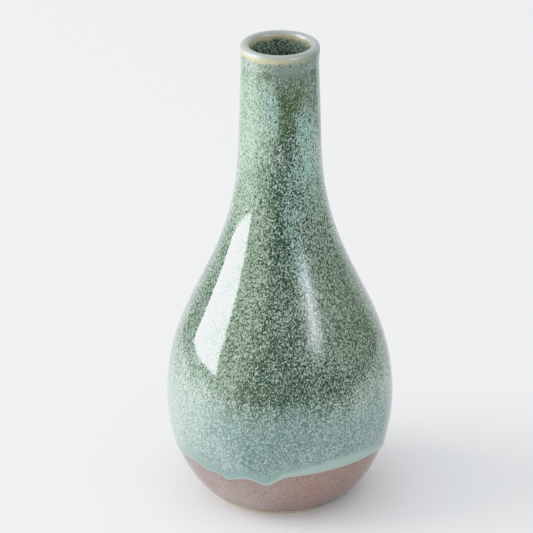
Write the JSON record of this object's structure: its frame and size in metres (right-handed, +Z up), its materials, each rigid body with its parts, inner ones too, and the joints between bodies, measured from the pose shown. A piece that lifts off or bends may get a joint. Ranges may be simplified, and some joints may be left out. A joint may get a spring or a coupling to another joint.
{
  "type": "bud vase",
  "caption": "Round-bellied ceramic bud vase with a long straight neck, a rounded lip, running green glaze and a bare brown slip band above a small foot ring.",
  "frame": {"origin": "centre of the foot ring, on the surface that the vase stands on", "axes": "+Z up the vase's axis through the mouth; -Y is the front, where the glaze has its lowest small run"},
  "size_m": [0.095, 0.095, 0.2],
  "materials": {
    "stoneware": "bare fired clay, dry and slightly grainy",
    "brown_slip": "satin brown slip with fine dark specks",
    "green_glaze": "gloss reactive glaze, pale green crystals over dark green, running to smooth pale green at its lower edge",
    "liner_glaze": "gloss dark green glaze, breaking to tan at the lip"
  },
  "bodies": {
    "root": {"stoneware_body": "stoneware", "brown_slip": "brown_slip", "outer_glaze": "green_glaze", "inner_glaze": "liner_glaze"}
  },
  "joints": []
}
